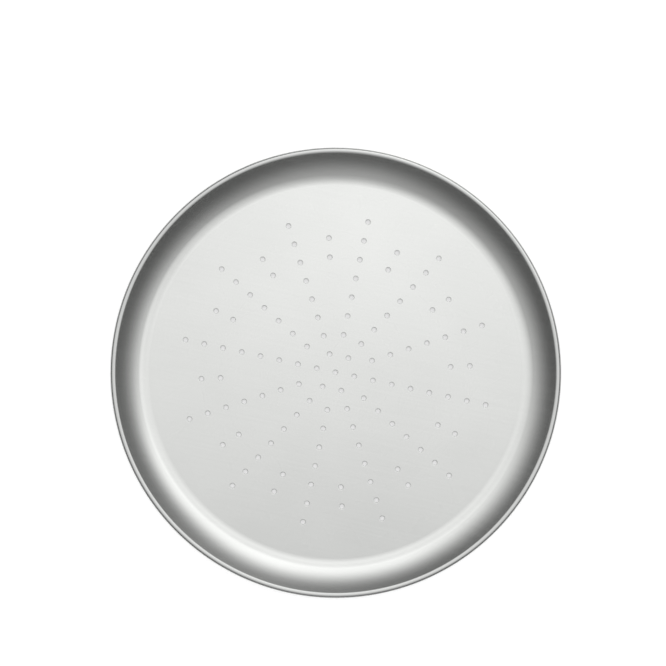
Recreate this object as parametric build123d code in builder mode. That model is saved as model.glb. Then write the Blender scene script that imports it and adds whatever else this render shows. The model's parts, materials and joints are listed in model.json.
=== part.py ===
from build123d import *
import math
import os

# Perforated pizza pan, pressed from one disc of aluminium sheet: a flat base with vent
# holes, a rounded corner, a wall that flares more steeply towards the top, and a hollow
# rim bead curled outwards. Millimetres, +Z up. The origin is the centre of the underside,
# level with the surface that the pan stands on, and +X runs along a spoke of holes.

# Overall size
pan_diameter = 320.0
pan_height = 14.0
sheet = 1.0

# Corner and wall, both on the inside. The corner bends the sheet up by its angle, in
# degrees, and the wall goes on from there in one long curve.
corner_radius = 16.0
corner_angle = 27.0
wall_radius = 48.0

# Rim bead, and the space between the wall and the sheet's edge tucked under the bead
bead_diameter = 5.2
curl_gap = 0.5

# Vent holes: one in the centre, and rings of them one pitch apart from there out
hole_diameter = 3.4
hole_pitch = 13.85
ring_hole_counts = (6, 12, 12, 12, 12, 24, 24, 12)
# The punch draws the upper edge of each hole in, and the lower edge is deburred
hole_roll_radius = 0.65
hole_deburr = 0.15

# How far a cut runs past the faces that it opens
overrun = 1.0

# The wall meets the bead at the slope that brings the top of the bead to its height
bead_radius = bead_diameter / 2
corner_slope = math.radians(corner_angle)
corner_rise = corner_radius * (1 - math.cos(corner_slope))
rim_rise = pan_height - sheet - corner_rise
rim_slope = math.acos((wall_radius * math.cos(corner_slope) + bead_radius - rim_rise) / (wall_radius + bead_radius))
wall_turn = math.degrees(rim_slope - corner_slope)

# The base is level as far out as the corner, the wall and the bead leave it
corner_reach = corner_radius * math.sin(corner_slope)
wall_reach = wall_radius * (math.sin(rim_slope) - math.sin(corner_slope))
bead_reach = bead_radius * (1 + math.sin(rim_slope))
base_radius = pan_diameter / 2 - bead_reach - wall_reach - corner_reach

# The curl stops where the outer corner of its edge is the gap away from the wall
curl_turn = 360 - math.degrees(math.acos((bead_radius - sheet - curl_gap) / bead_radius))

with BuildPart() as pan:
    # The sheet's upper and lower face, each from the centre to the edge under the bead
    with BuildSketch(Plane.XZ) as section:
        with BuildLine() as sheet_outline:
            upper = (sheet, corner_radius, wall_radius, bead_radius)
            lower = (0, corner_radius + sheet, wall_radius + sheet, bead_radius - sheet)
            sheet_edge = []
            for height, corner_bend, wall_bend, curl_bend in (upper, lower):
                base_line = Line((0, height), (base_radius, height))
                corner = JernArc(base_line @ 1, base_line % 1, corner_bend, corner_angle)
                wall = JernArc(corner @ 1, corner % 1, wall_bend, wall_turn)
                curl = JernArc(wall @ 1, wall % 1, curl_bend, -curl_turn)
                sheet_edge.append(curl @ 1)
            Line(*sheet_edge)
            Line((0, 0), (0, sheet))
        make_face()
    revolve(axis=Axis.Z)

    # Every ring of vent holes has one hole on the X axis
    with BuildSketch(Plane.XY.offset(sheet)) as vent_holes:
        Circle(hole_diameter / 2)
        for ring, hole_count in enumerate(ring_hole_counts, start=1):
            with PolarLocations(ring * hole_pitch, hole_count):
                Circle(hole_diameter / 2)
    extrude(amount=sheet + overrun, both=True, mode=Mode.SUBTRACT)

    bores = pan.faces().filter_by(GeomType.CYLINDER)
    upper_edges = bores.edges().filter_by_position(Axis.Z, sheet, sheet)
    lower_edges = bores.edges().filter_by_position(Axis.Z, 0, 0)
    fillet(upper_edges, hole_roll_radius)
    chamfer(lower_edges, hole_deburr)

pan.part.label = "pan"

os.makedirs("parts", exist_ok=True)
export_step(pan.part, "parts/pan.step")

hole_total = 1 + sum(ring_hole_counts)
print(f"flat base {2 * base_radius:.2f} mm across, wall meets the bead at {math.degrees(rim_slope):.1f} degrees, "
      f"{hole_total} vent holes")
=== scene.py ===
"""Perforated pizza pan, dressed: the pressed, punched and curled sheet with its satin finish,
and the studio that it is shown in.

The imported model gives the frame: metres, +Z up, the origin at the centre of the underside,
and +X along a spoke of vent holes.
"""
import json
import logging
import math
from dataclasses import dataclass, field
from enum import Enum
from typing import Any

import bmesh
import bpy
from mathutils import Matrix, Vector

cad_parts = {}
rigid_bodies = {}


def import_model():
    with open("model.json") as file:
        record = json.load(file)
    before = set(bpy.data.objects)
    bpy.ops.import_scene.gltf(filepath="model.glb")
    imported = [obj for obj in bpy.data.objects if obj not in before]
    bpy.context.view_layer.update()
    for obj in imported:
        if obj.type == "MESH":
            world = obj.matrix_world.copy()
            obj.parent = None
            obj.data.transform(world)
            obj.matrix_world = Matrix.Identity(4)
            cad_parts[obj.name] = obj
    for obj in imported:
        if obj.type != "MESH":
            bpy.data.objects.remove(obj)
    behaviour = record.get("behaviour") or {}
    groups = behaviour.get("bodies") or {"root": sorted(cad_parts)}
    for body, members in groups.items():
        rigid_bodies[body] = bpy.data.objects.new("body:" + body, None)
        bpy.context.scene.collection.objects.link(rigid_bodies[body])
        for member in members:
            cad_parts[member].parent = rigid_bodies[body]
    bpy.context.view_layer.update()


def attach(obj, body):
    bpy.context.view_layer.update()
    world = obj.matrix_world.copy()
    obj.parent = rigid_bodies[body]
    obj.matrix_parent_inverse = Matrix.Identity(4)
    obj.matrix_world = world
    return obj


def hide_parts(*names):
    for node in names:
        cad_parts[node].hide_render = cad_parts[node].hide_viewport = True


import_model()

log = logging.getLogger("pan")

MM = 0.001

# The pan's attribute that tells its finish where it is painted darker, as painted shade, and smoother,
# as wear.
PAINTED_SHADE_AND_WEAR = "painted_shade_and_wear"

# Numbers of a Mix node's sockets, which have the same names for a colour and for a value.
COLOUR_A, COLOUR_B, COLOUR_MIXED = 6, 7, 2
VALUE_A, VALUE_B, VALUE_MIXED = 2, 3, 0

# Radius and height of a circle about the Z axis, in metres.
Ring = tuple[float, float]


class Side(Enum):
    """The two faces of the sheet."""

    UPPER = "upper"
    LOWER = "lower"


def to_linear(hex_colour: str) -> tuple[float, float, float, float]:
    """Turns an sRGB hex colour into the linear colour that a shader takes.

    Args:
        hex_colour: Six hex digits after a hash sign.

    Returns:
        Red, green, blue and an alpha of one.
    """
    parts = [int(hex_colour[at:at + 2], 16) / 255 for at in (1, 3, 5)]
    linear = [part / 12.92 if part <= 0.04045 else ((part + 0.055) / 1.055) ** 2.4 for part in parts]
    return (linear[0], linear[1], linear[2], 1.0)


def add_node(
    tree: bpy.types.NodeTree, kind: str, inputs: dict[Any, Any] | None = None, **settings: Any
) -> bpy.types.Node:
    """Adds a node with its settings, and gives its sockets their values or links.

    Args:
        tree: The node tree that the node goes into.
        kind: Blender's name for the kind of node.
        inputs: For each socket's name or number, a value or another node's output.
        settings: The node's own settings.

    Returns:
        The new node.
    """
    node = tree.nodes.new(kind)
    for name, value in settings.items():
        setattr(node, name, value)
    for socket, value in (inputs or {}).items():
        if isinstance(value, bpy.types.NodeSocket):
            tree.links.new(value, node.inputs[socket])
        else:
            node.inputs[socket].default_value = value
    return node


def ramp(value: float, low: float, high: float) -> float:
    """Gives a value's share of the way from low to high, held between 0 and 1."""
    return min(1.0, max(0.0, (value - low) / (high - low)))


def deselect_all() -> None:
    """Leaves nothing selected and nothing active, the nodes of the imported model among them."""
    for thing in bpy.context.scene.objects:
        thing.select_set(False)
    bpy.context.view_layer.objects.active = None


def pick(thing: bpy.types.Object) -> None:
    """Selects one object alone and makes it the active one.

    Args:
        thing: The object.
    """
    deselect_all()
    thing.select_set(True)
    bpy.context.view_layer.objects.active = thing


def turn_rings(name: str, rings: list[Ring], sides: int) -> bpy.types.Object:
    """Makes an open round wall about the Z axis: a circle, pulled on from ring to ring.

    Args:
        name: Name of the new object.
        rings: Radius and height of each ring in metres, in the order they are pulled.
        sides: Number of edges in a ring.

    Returns:
        The new object, with its place in its mesh.
    """
    deselect_all()
    (radius, height), *others = rings
    bpy.ops.mesh.primitive_circle_add(vertices=sides, radius=radius, location=(0, 0, height))
    wall = bpy.context.object
    wall.name = name
    bpy.ops.object.transform_apply(location=True, rotation=True, scale=True)
    bpy.ops.object.mode_set(mode="EDIT")
    bpy.ops.mesh.select_mode(type="EDGE")
    bpy.ops.mesh.select_all(action="SELECT")
    for next_radius, next_height in others:
        rise = (0, 0, next_height - height)
        bpy.ops.mesh.extrude_region_move(TRANSFORM_OT_translate={"value": rise})
        share = next_radius / radius
        bpy.ops.transform.resize(value=(share, share, 1), center_override=(0, 0, next_height))
        radius, height = next_radius, next_height
    bpy.ops.object.mode_set(mode="OBJECT")
    return wall


@dataclass(frozen=True)
class SatinAnodisedAluminium:
    """Anodised aluminium sheet, etched matt in caustic before the bath.

    The etch gives a fine even grain, so that the metal shines softly and mirrors only broad
    lights and darks. The rolling of the sheet leaves faint streaks one way, and the clear film
    takes the grey up a little unevenly. The bead and the lips of the holes are painted a darker
    grey, which is painted shade, and are a little smoother, as worn metal is. On the outer side
    of the bead the painted shade runs nearly all round, and is least toward the brightest lamp.
    """

    name: str = "anodised_aluminium_satin_etched"
    metal: str = "#E3E4E2"
    metal_deep: str = "#DBDCDA"
    # The darker grey painted on the bead and the lips of the holes: painted shade.
    painted_shade_and_wear: str = "#C6C7C6"
    roughness: float = 0.24
    roughness_play: float = 0.025
    worn_roughness: float = 0.21
    # The grain of the etch is about 0.05 mm, too fine to show, and is drawn at 0.8 mm.
    grain_mm: float = 0.8
    grain_depth_mm: float = 0.004
    # A rolling streak is about 0.1 mm wide, and is drawn at 1.6 mm.
    streak_width_mm: float = 1.6
    streak_length_mm: float = 90.0
    cloud_mm: float = 60.0
    # Two noises added up lie about 1. This far from it the grey and the roughness end their play.
    grey_reach: float = 0.5
    roughness_reach: float = 0.4

    def build(self) -> bpy.types.Material:
        """Makes the material's nodes.

        Returns:
            The material.
        """
        material = bpy.data.materials.new(self.name)
        material.use_nodes = True
        tree = material.node_tree
        tree.nodes.clear()
        place = add_node(tree, "ShaderNodeTexCoord").outputs["Object"]

        grain_scale = (1 / (self.grain_mm * MM),) * 3
        grain_place = add_node(tree, "ShaderNodeMapping", {"Vector": place, "Scale": grain_scale})
        grain = add_node(tree, "ShaderNodeTexNoise", {
            "Vector": grain_place.outputs["Vector"], "Scale": 1.0, "Detail": 2.0, "Roughness": 0.55})

        along = 1 / (self.streak_length_mm * MM)
        across = 1 / (self.streak_width_mm * MM)
        streak_place = add_node(tree, "ShaderNodeMapping", {
            "Vector": place, "Scale": (along, across, along)})
        streak = add_node(tree, "ShaderNodeTexNoise", {
            "Vector": streak_place.outputs["Vector"], "Scale": 1.0, "Detail": 3.0, "Roughness": 0.6})

        cloud_scale = (1 / (self.cloud_mm * MM),) * 3
        cloud_place = add_node(tree, "ShaderNodeMapping", {"Vector": place, "Scale": cloud_scale})
        cloud = add_node(tree, "ShaderNodeTexNoise", {
            "Vector": cloud_place.outputs["Vector"], "Scale": 1.0, "Detail": 2.0, "Roughness": 0.5})

        painted_shade_and_wear = add_node(tree, "ShaderNodeAttribute", attribute_name=PAINTED_SHADE_AND_WEAR)

        # The grey varies with the streaks and with the film's clouds.
        mottle = add_node(tree, "ShaderNodeMath", {
            0: streak.outputs["Fac"], 1: cloud.outputs["Fac"]}, operation="ADD")
        grey_share = add_node(tree, "ShaderNodeMapRange", {
            "Value": mottle.outputs["Value"], "From Min": 1 - self.grey_reach,
            "From Max": 1 + self.grey_reach})
        grey = add_node(tree, "ShaderNodeMix", {
            "Factor": grey_share.outputs["Result"], COLOUR_A: to_linear(self.metal_deep),
            COLOUR_B: to_linear(self.metal)}, data_type="RGBA")
        # Where the pan is marked, the grey goes to the darker one: painted shade on the bead and the
        # lips of the holes.
        colour = add_node(tree, "ShaderNodeMix", {
            "Factor": painted_shade_and_wear.outputs["Fac"], COLOUR_A: grey.outputs[COLOUR_MIXED],
            COLOUR_B: to_linear(self.painted_shade_and_wear)}, data_type="RGBA")

        # Roughness plays about its own value with streaks and grain, and drops where worn.
        play = add_node(tree, "ShaderNodeMath", {
            0: streak.outputs["Fac"], 1: grain.outputs["Fac"]}, operation="ADD")
        etched = add_node(tree, "ShaderNodeMapRange", {
            "Value": play.outputs["Value"], "From Min": 1 - self.roughness_reach,
            "From Max": 1 + self.roughness_reach,
            "To Min": self.roughness - self.roughness_play,
            "To Max": self.roughness + self.roughness_play})
        roughness = add_node(tree, "ShaderNodeMix", {
            "Factor": painted_shade_and_wear.outputs["Fac"], VALUE_A: etched.outputs["Result"],
            VALUE_B: self.worn_roughness}, data_type="FLOAT")

        bump = add_node(tree, "ShaderNodeBump", {
            "Height": grain.outputs["Fac"], "Strength": 1.0, "Distance": self.grain_depth_mm * MM})
        surface = add_node(tree, "ShaderNodeBsdfPrincipled", {
            "Base Color": colour.outputs[COLOUR_MIXED], "Metallic": 1.0,
            "Roughness": roughness.outputs[VALUE_MIXED], "Normal": bump.outputs["Normal"]})
        add_node(tree, "ShaderNodeOutputMaterial", {"Surface": surface.outputs["BSDF"]})
        return material


@dataclass(frozen=True)
class MattWhiteFloor:
    """Matt white board, rolled: no shine, the pan's shadow soft on it, and a painted shadow in its lift
    under the pan.
    """

    name: str = "floor_board_matt_white"
    board: str = "#E6E6E6"
    # What takes the board up to white in the open, and how much of it is left under the pan, as a
    # painted shadow.
    lift: float = 0.56
    lift_under_pan: float = 0.21
    # Where the lift starts to grow and where it is whole, in metres from the pan's centre.
    shade_inner: float = 0.125
    shade_outer: float = 0.164

    def build(self) -> bpy.types.Material:
        """Makes the material's nodes.

        Returns:
            The material.
        """
        material = bpy.data.materials.new(self.name)
        material.use_nodes = True
        tree = material.node_tree
        tree.nodes.clear()
        board = add_node(tree, "ShaderNodeBsdfDiffuse", {"Color": to_linear(self.board)})

        # The lift is painted darker under the pan, a painted shadow, as the board's own white is shaded
        # there.
        place = add_node(tree, "ShaderNodeTexCoord").outputs["Object"]
        reach = add_node(tree, "ShaderNodeVectorMath", {0: place}, operation="LENGTH")
        lift = add_node(tree, "ShaderNodeMapRange", {
            "Value": reach.outputs["Value"], "From Min": self.shade_inner,
            "From Max": self.shade_outer, "To Min": self.lift_under_pan, "To Max": self.lift},
            interpolation_type="SMOOTHSTEP")

        # Only the camera and what mirrors the board see the lift. It lights nothing else.
        path = add_node(tree, "ShaderNodeLightPath")
        seen = add_node(tree, "ShaderNodeMath", {
            0: path.outputs["Is Camera Ray"], 1: path.outputs["Is Glossy Ray"]}, operation="ADD")
        seen_or_through = add_node(tree, "ShaderNodeMath", {
            0: seen.outputs["Value"], 1: path.outputs["Is Transmission Ray"]},
            operation="ADD", use_clamp=True)
        strength = add_node(tree, "ShaderNodeMath", {
            0: seen_or_through.outputs["Value"], 1: lift.outputs["Result"]}, operation="MULTIPLY")
        glow = add_node(tree, "ShaderNodeEmission", {
            "Color": (1.0, 1.0, 1.0, 1.0), "Strength": strength.outputs["Value"]})
        lifted = add_node(tree, "ShaderNodeAddShader", {
            0: board.outputs["BSDF"], 1: glow.outputs["Emission"]})

        # From below the board is clear, so that the underside of the pan can be looked at.
        below = add_node(tree, "ShaderNodeNewGeometry").outputs["Backfacing"]
        clear = add_node(tree, "ShaderNodeBsdfTransparent")
        one_sided = add_node(tree, "ShaderNodeMixShader", {
            0: below, 1: lifted.outputs["Shader"], 2: clear.outputs["BSDF"]})
        add_node(tree, "ShaderNodeOutputMaterial", {"Surface": one_sided.outputs["Shader"]})
        return material


@dataclass
class VentHole:
    """A punched vent hole, with its upper edge drawn in and its lower edge deburred.

    Sizes in millimetres.
    """

    diameter: float = 3.4
    roll_radius: float = 0.65
    deburr: float = 0.15
    roll_steps: int = 2
    sides: int = 16

    def rings(self, sheet: float) -> list[Ring]:
        """Gives the hole's rings from the upper face of the sheet to the lower one.

        Args:
            sheet: Thickness of the sheet in millimetres.

        Returns:
            Radius and height of each ring in metres.
        """
        bore = self.diameter / 2
        rings = []
        for step in range(self.roll_steps + 1):
            turn = math.radians(90) * step / self.roll_steps
            reach = bore + self.roll_radius * (1 - math.sin(turn))
            drop = self.roll_radius * (1 - math.cos(turn))
            rings.append((reach * MM, (sheet - drop) * MM))
        rings.append((bore * MM, self.deburr * MM))
        rings.append(((bore + self.deburr) * MM, 0.0))
        return rings

    def build(self, sheet: float) -> bpy.types.Object:
        """Makes the first hole's wall, about the pan's centre."""
        return turn_rings("vent_hole", self.rings(sheet), self.sides)


@dataclass
class VentPattern:
    """The pattern of vent holes: one in the centre, and rings one pitch apart from it.

    The pitch is in millimetres.
    """

    pitch: float = 13.85
    ring_counts: tuple[int, ...] = (6, 12, 12, 12, 12, 24, 24, 12)

    def places(self) -> list[Vector]:
        """Gives the place of each hole about the centre of the base, every ring from +X on.

        Returns:
            The places in metres, that of the hole in the centre first.
        """
        places = [Vector((0.0, 0.0, 0.0))]
        for ring, count in enumerate(self.ring_counts, start=1):
            for number in range(count):
                turn = math.tau * number / count
                place = Vector((math.cos(turn), math.sin(turn), 0.0))
                places.append(place * ring * self.pitch * MM)
        return places

    def copy_out(self, first: bpy.types.Object) -> list[bpy.types.Object]:
        """Copies the first hole to the other places, each copy with its own mesh.

        Args:
            first: The hole in the centre.

        Returns:
            The copies.
        """
        copies = []
        for place in self.places()[1:]:
            copy = first.copy()
            copy.data = first.data.copy()
            copy.location = place
            bpy.context.scene.collection.objects.link(copy)
            copies.append(copy)
        return copies


@dataclass
class PressedPan:
    """The pan itself, pressed from one disc of sheet. Sizes in millimetres and degrees.

    Attributes:
        sides: Number of edges in each ring of the mesh.
        corner_step: The widest turn from ring to ring on the corner and the wall.
        bead_step: The same on the bead.
        flat_margin: Width of the flat ring next to the corner.
        smooth_angle: The widest angle between two faces that is shaded as one curve.
        level_slack: How far from a level a point may lie and still count as on it.
        level_normal: Upward part of a face's normal from which the face counts as level.
        curl_shade_and_wear: Painted shade and wear on the inner side of the bead, from 0 to 1.
        curl_fade: Where that painted shade and wear sets in, from -1 on the bead's inner side to 1 on
            its outer.
        outer_fade: Where the painted shade and wear of the outer side takes over from it.
        shade_side: Bearing of the side of the pan away from the brightest lamp.
        shade_side_fade: How squarely a place lies across from that side, where the painted shade of the
            outer side sets in: -1 straight across from it, 0 a quarter turn away.
        lip_shade_and_wear: Painted shade and wear on the lips of the holes.
    """

    diameter: float = 320.0
    height: float = 14.0
    sheet: float = 1.0
    corner_radius: float = 16.0
    corner_angle: float = 27.0
    wall_radius: float = 48.0
    bead_diameter: float = 5.2
    curl_gap: float = 0.5
    sides: int = 256
    corner_step: float = 2.25
    bead_step: float = 10.0
    flat_margin: float = 0.6
    smooth_angle: float = 40.0
    level_slack: float = 0.01
    level_normal: float = 0.99999
    curl_shade_and_wear: float = 0.7
    curl_fade: tuple[float, float] = (-0.65, -0.45)
    outer_fade: tuple[float, float] = (0.0, 0.25)
    shade_side: float = -108.0
    shade_side_fade: tuple[float, float] = (-0.97, -0.6)
    lip_shade_and_wear: float = 0.5
    vent_hole: VentHole = field(default_factory=VentHole)
    pattern: VentPattern = field(default_factory=VentPattern)
    finish: SatinAnodisedAluminium = field(default_factory=SatinAnodisedAluminium)

    def slopes(self) -> tuple[float, float, float]:
        """Works out how steep the sheet is where each of its curves ends.

        Returns:
            Its slope at the end of the corner, the wall and the curl, in degrees.
        """
        bead = self.bead_diameter / 2
        corner = math.radians(self.corner_angle)
        rise = self.height - self.sheet - self.corner_radius * (1 - math.cos(corner))
        rim = math.acos((self.wall_radius * math.cos(corner) + bead - rise) / (self.wall_radius + bead))
        curl = 360 - math.degrees(math.acos((bead - self.sheet - self.curl_gap) / bead))
        return self.corner_angle, math.degrees(rim), math.degrees(rim) - curl

    @staticmethod
    def heading(slope: float) -> Vector:
        """Gives the unit vector square to the sheet, to its outer side, at a slope in degrees."""
        return Vector((math.sin(math.radians(slope)), -math.cos(math.radians(slope))))

    def centres(self) -> tuple[Vector, Vector, Vector]:
        """Gives the centres of the corner's, the wall's and the bead's curve in the section.

        Returns:
            Radius and height of each centre, in millimetres.
        """
        corner_slope, rim_slope, _ = self.slopes()
        bead = self.bead_diameter / 2
        corner = Vector((0.0, self.sheet + self.corner_radius))
        wall = corner + self.heading(corner_slope) * (self.corner_radius - self.wall_radius)
        curl = wall + self.heading(rim_slope) * (self.wall_radius + bead)
        base_radius = self.diameter / 2 - bead - curl.x
        shift = Vector((base_radius, 0.0))
        return corner + shift, wall + shift, curl + shift

    @staticmethod
    def bend(centre: Vector, radius: float, stops: list[float], step: float) -> list[Vector]:
        """Gives the points of a curve of the section.

        Args:
            centre: The curve's centre.
            radius: Its radius, negative where the sheet curls the other way.
            stops: Slopes in degrees that get a point of their own, from first to last.
            step: The widest turn from point to point, in degrees.

        Returns:
            The points, without the first.
        """
        points = []
        for start, end in zip(stops, stops[1:]):
            count = math.ceil(abs(end - start) / step)
            for number in range(1, count + 1):
                slope = start + (end - start) * number / count
                points.append(centre + PressedPan.heading(slope) * radius)
        return points

    def face(self, side: Side) -> list[Vector]:
        """Gives the section of one face of the sheet, from the flat base to the cut edge.

        Args:
            side: Which face.

        Returns:
            The points of the section, in millimetres.
        """
        depth = 0.0 if side is Side.UPPER else self.sheet
        corner_slope, rim_slope, edge_slope = self.slopes()
        corner, wall, curl = self.centres()
        start = Vector((corner.x, self.sheet - depth))
        points = [start - Vector((self.flat_margin, 0.0)), start]
        points += self.bend(corner, self.corner_radius + depth, [0.0, corner_slope], self.corner_step)
        points += self.bend(wall, self.wall_radius + depth, [corner_slope, rim_slope], self.corner_step)
        # The bead's top, its outer side and its bottom each get a point, so it has its full size.
        stops = [rim_slope, 0.0, -90.0, -180.0, edge_slope]
        points += self.bend(curl, depth - self.bead_diameter / 2, stops, self.bead_step)
        return points

    def build(self) -> bpy.types.Object:
        """Makes the pan: the turned wall and curl, the holes, and the flat base between them.

        Returns:
            The finished piece, with its place in its mesh.
        """
        outline = self.face(Side.UPPER) + self.face(Side.LOWER)[::-1]
        rings = [(point.x * MM, point.y * MM) for point in outline]
        pan = turn_rings("perforated_pan", rings, self.sides)
        first = self.vent_hole.build(self.sheet)
        holes = [first] + self.pattern.copy_out(first)
        log.info("%s: %d rings of %d sides", pan.name, len(rings), self.sides)

        pick(pan)
        for hole in holes:
            hole.select_set(True)
        bpy.ops.object.join()
        bpy.ops.object.mode_set(mode="EDIT")
        bpy.ops.mesh.select_mode(type="EDGE")
        self.close_flat(pan, self.sheet)
        self.close_flat(pan, 0.0)
        bpy.ops.mesh.select_all(action="SELECT")
        bpy.ops.mesh.normals_make_consistent(inside=False)
        bpy.ops.object.mode_set(mode="OBJECT")
        bpy.ops.object.shade_smooth_by_angle(angle=math.radians(self.smooth_angle))
        bpy.ops.object.modifier_add(type="WEIGHTED_NORMAL")
        pan.modifiers[-1].keep_sharp = True
        bpy.ops.object.modifier_apply(modifier=pan.modifiers[-1].name)
        self.level_base(pan)
        log.info("%s: %d vent holes, %d faces", pan.name, len(holes), len(pan.data.polygons))
        return pan

    def close_flat(self, pan: bpy.types.Object, level: float) -> None:
        """Fills one face of the base, between its outer edge and the edges of the holes.

        Args:
            pan: The pan, in edit mode.
            level: Height of that face in millimetres.
        """
        slack = self.level_slack * MM
        mesh = bmesh.from_edit_mesh(pan.data)
        for edge in mesh.edges:
            on_level = all(abs(end.co.z - level * MM) < slack for end in edge.verts)
            edge.select_set(edge.is_boundary and on_level)
        bmesh.update_edit_mesh(pan.data)
        bpy.ops.mesh.fill(use_beauty=True)

    def level_base(self, pan: bpy.types.Object) -> None:
        """Shades the flat of the base as level, right up to the corner and the lips.

        Args:
            pan: The pan, as the active object.
        """
        bpy.ops.object.mode_set(mode="EDIT")
        bpy.ops.mesh.select_mode(type="FACE")
        bpy.ops.mesh.select_all(action="DESELECT")
        mesh = bmesh.from_edit_mesh(pan.data)
        for face in mesh.faces:
            if abs(face.normal.z) > self.level_normal:
                face.select_set(True)
        bmesh.update_edit_mesh(pan.data)
        bpy.ops.mesh.set_normals_from_faces(keep_sharp=True)
        bpy.ops.object.mode_set(mode="OBJECT")

    def mark_painted_shade_and_wear(self, pan: bpy.types.Object) -> None:
        """Marks where the finish is painted darker, as painted shade, and smoother, as wear, on the
        lips of the holes and on the bead.

        The outer side of the bead gets the painted shade nearly all round, and least across from the
        shade side, toward the brightest lamp.

        Args:
            pan: The finished piece.
        """
        lip_low = (self.sheet - self.vent_hole.roll_radius) * MM
        lip_high = self.sheet * MM
        base, _, curl = self.centres()
        shade_and_wear_layer = pan.data.attributes.new(PAINTED_SHADE_AND_WEAR, "FLOAT", "POINT")
        for vertex in pan.data.vertices:
            reach = math.hypot(vertex.co.x, vertex.co.y) / MM
            # Runs from -1 on the inner side of the bead to 1 on its outer side.
            outward = (reach - curl.x) / (self.bead_diameter / 2)
            # The outer side of the bead is painted dark, as painted shade, all round but across from
            # the shade side.
            turn = math.atan2(vertex.co.y, vertex.co.x) - math.radians(self.shade_side)
            away_from_lamp = ramp(math.cos(turn), *self.shade_side_fade)
            outer = ramp(outward, *self.outer_fade)
            inner = self.curl_shade_and_wear * ramp(outward, *self.curl_fade)
            painted_shade_and_wear = inner * (1 - outer) + away_from_lamp * outer
            # The lips of the holes get painted shade, a darker grey, and wear.
            if reach < base.x and lip_low < vertex.co.z < lip_high:
                painted_shade_and_wear = self.lip_shade_and_wear
            shade_and_wear_layer.data[vertex.index].value = painted_shade_and_wear

    def dress(self, pan: bpy.types.Object) -> None:
        """Gives the pan its painted shade and wear, its finish, and its place in the frame.

        Args:
            pan: The finished piece.
        """
        self.mark_painted_shade_and_wear(pan)
        pan.data.materials.clear()
        pan.data.materials.append(self.finish.build())
        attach(pan, "root")
        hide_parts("pan")


@dataclass(frozen=True)
class SoftGlow:
    """The glow of one lamp on the cloth of the light tent, brightest in its middle.

    Attributes:
        tilt: Angle of its middle from straight up, in degrees.
        bearing: Direction of its middle about the pan, in degrees from +X towards +Y.
        half_width: Angle from its middle to where it is half as bright, in degrees.
        brightness: Its radiance in the middle, where white paper lit all round by 1 is white.
    """

    tilt: float
    bearing: float
    half_width: float
    brightness: float

    def middle(self) -> tuple[float, float, float]:
        """Gives the direction of the glow's middle.

        Returns:
            A unit vector from the pan to it.
        """
        tilt, bearing = math.radians(self.tilt), math.radians(self.bearing)
        level = math.sin(tilt)
        return level * math.cos(bearing), level * math.sin(bearing), math.cos(tilt)

    def add_to(
        self, tree: bpy.types.NodeTree, direction: bpy.types.NodeSocket,
        so_far: bpy.types.NodeSocket | float
    ) -> bpy.types.NodeSocket:
        """Adds the glow to the brightness of the tent so far.

        Args:
            tree: The node tree of the world.
            direction: The direction that is looked in.
            so_far: Brightness before this glow.

        Returns:
            Brightness with this glow.
        """
        narrow = math.log(2) / (1 - math.cos(math.radians(self.half_width)))
        facing = add_node(tree, "ShaderNodeVectorMath", {
            0: direction, 1: self.middle()}, operation="DOT_PRODUCT")
        falling = add_node(tree, "ShaderNodeMath", {
            0: facing.outputs["Value"], 1: narrow, 2: -narrow}, operation="MULTIPLY_ADD")
        share = add_node(tree, "ShaderNodeMath", {0: falling.outputs["Value"]}, operation="EXPONENT")
        total = add_node(tree, "ShaderNodeMath", {
            0: share.outputs["Value"], 1: self.brightness, 2: so_far}, operation="MULTIPLY_ADD")
        return total.outputs["Value"]


@dataclass(frozen=True)
class LightTent:
    """A white cloth tent over the pan, with lamps behind it, and dim low down all round."""

    name: str = "light_tent"
    dim: float = 0.08
    glows: tuple[SoftGlow, ...] = (
        SoftGlow(41.7, 78.4, 14.7, 1.196),
        SoftGlow(34.9, 161.1, 20.7, 0.913),
        SoftGlow(40.7, 117.8, 14.1, 0.815),
        SoftGlow(27.2, -2.0, 20.9, 0.947),
        SoftGlow(40.0, 39.6, 11.6, 0.824),
        SoftGlow(42.1, -84.0, 20.4, 0.359),
        SoftGlow(10.0, 87.9, 10.0, 0.594),
        SoftGlow(89.0, 73.9, 38.8, 0.19),
        SoftGlow(41.8, -140.6, 16.0, 0.278),
        SoftGlow(13.2, -132.0, 13.9, 0.485),
    )

    def build(self) -> bpy.types.World:
        """Makes the tent, as the scene's world.

        Returns:
            The world.
        """
        world = bpy.data.worlds.new(self.name)
        world.use_nodes = True
        tree = world.node_tree
        tree.nodes.clear()
        direction = add_node(tree, "ShaderNodeTexCoord").outputs["Generated"]
        brightness: bpy.types.NodeSocket | float = self.dim
        for glow in self.glows:
            brightness = glow.add_to(tree, direction, brightness)
        cloth = add_node(tree, "ShaderNodeBackground", {
            "Color": (1.0, 1.0, 1.0, 1.0), "Strength": brightness})
        add_node(tree, "ShaderNodeOutputWorld", {"Surface": cloth.outputs["Background"]})
        bpy.context.scene.world = world
        log.info("%s: %d glows", world.name, len(self.glows))
        return world


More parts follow.
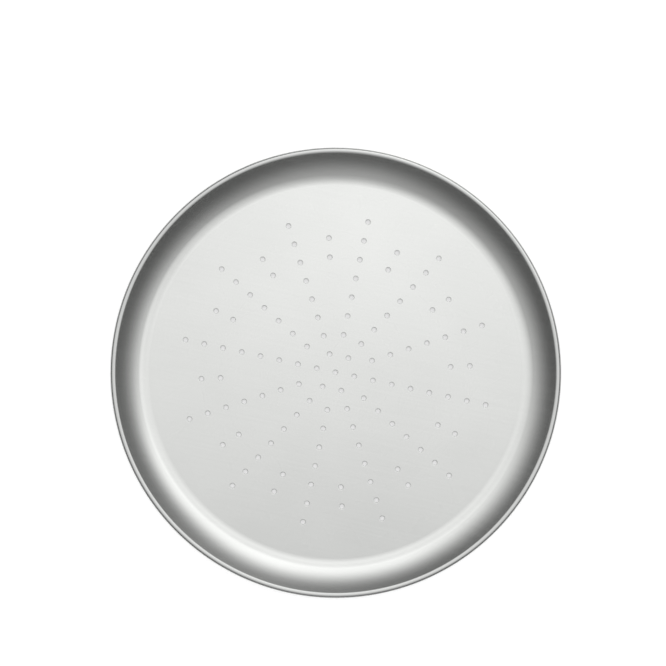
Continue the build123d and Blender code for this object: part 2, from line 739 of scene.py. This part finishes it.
@dataclass
class Studio:
    """A plain pale floor, a light tent, and the camera over the pan.

    Attributes:
        floor_radius: How far the floor reaches, in metres.
        floor_sides: Number of edges round the floor.
        floor_gap: How far the floor lies under the pan, in millimetres.
        camera_place: Place of the camera, in metres.
        camera_turn: Its turn about X, Y and Z from looking straight down, in degrees.
        lens: Its focal length, in millimetres.
        sensor: Width of the film behind it, in millimetres.
        nearest: How near to it a thing is still seen, in metres.
    """

    floor_radius: float = 60.0
    floor_sides: int = 96
    floor_gap: float = 0.1
    camera_place: tuple[float, float, float] = (-0.0039, 0.0368, 0.640)
    camera_turn: tuple[float, float, float] = (-0.74, 0.51, 12.23)
    lens: float = 47.93
    sensor: float = 36.0
    nearest: float = 0.01
    finish: MattWhiteFloor = field(default_factory=MattWhiteFloor)
    tent: LightTent = field(default_factory=LightTent)

    def build_floor(self) -> bpy.types.Object:
        """Lays the floor just under the pan.

        Returns:
            The floor.
        """
        deselect_all()
        bpy.ops.mesh.primitive_circle_add(
            vertices=self.floor_sides, radius=self.floor_radius, fill_type="NGON",
            location=(0, 0, -self.floor_gap * MM))
        floor = bpy.context.object
        floor.name = "floor"
        bpy.ops.object.transform_apply(location=True, rotation=True, scale=True)
        floor.data.materials.append(self.finish.build())
        return floor

    def build_camera(self) -> bpy.types.Object:
        """Hangs the camera over the pan, at the viewing angle of the picture.

        Returns:
            The camera.
        """
        lens = bpy.data.cameras.new("camera_overhead")
        lens.sensor_width = self.sensor
        lens.lens = self.lens
        lens.clip_start = self.nearest
        camera = bpy.data.objects.new("camera_overhead", lens)
        camera.location = self.camera_place
        camera.rotation_euler = [math.radians(angle) for angle in self.camera_turn]
        bpy.context.scene.collection.objects.link(camera)
        bpy.context.scene.camera = camera
        return camera

    def build(self) -> None:
        """Makes the whole studio."""
        floor = self.build_floor()
        tent = self.tent.build()
        camera = self.build_camera()
        bpy.context.scene.view_settings.view_transform = "Standard"
        log.info("studio: %s, %s, %s", floor.name, tent.name, camera.name)


def main() -> None:
    """Builds the pan, then the studio round it."""
    logging.basicConfig(level=logging.INFO, format="%(message)s")
    pressed = PressedPan()
    pan = pressed.build()
    pressed.dress(pan)
    Studio().build()


if __name__ == "__main__":
    main()
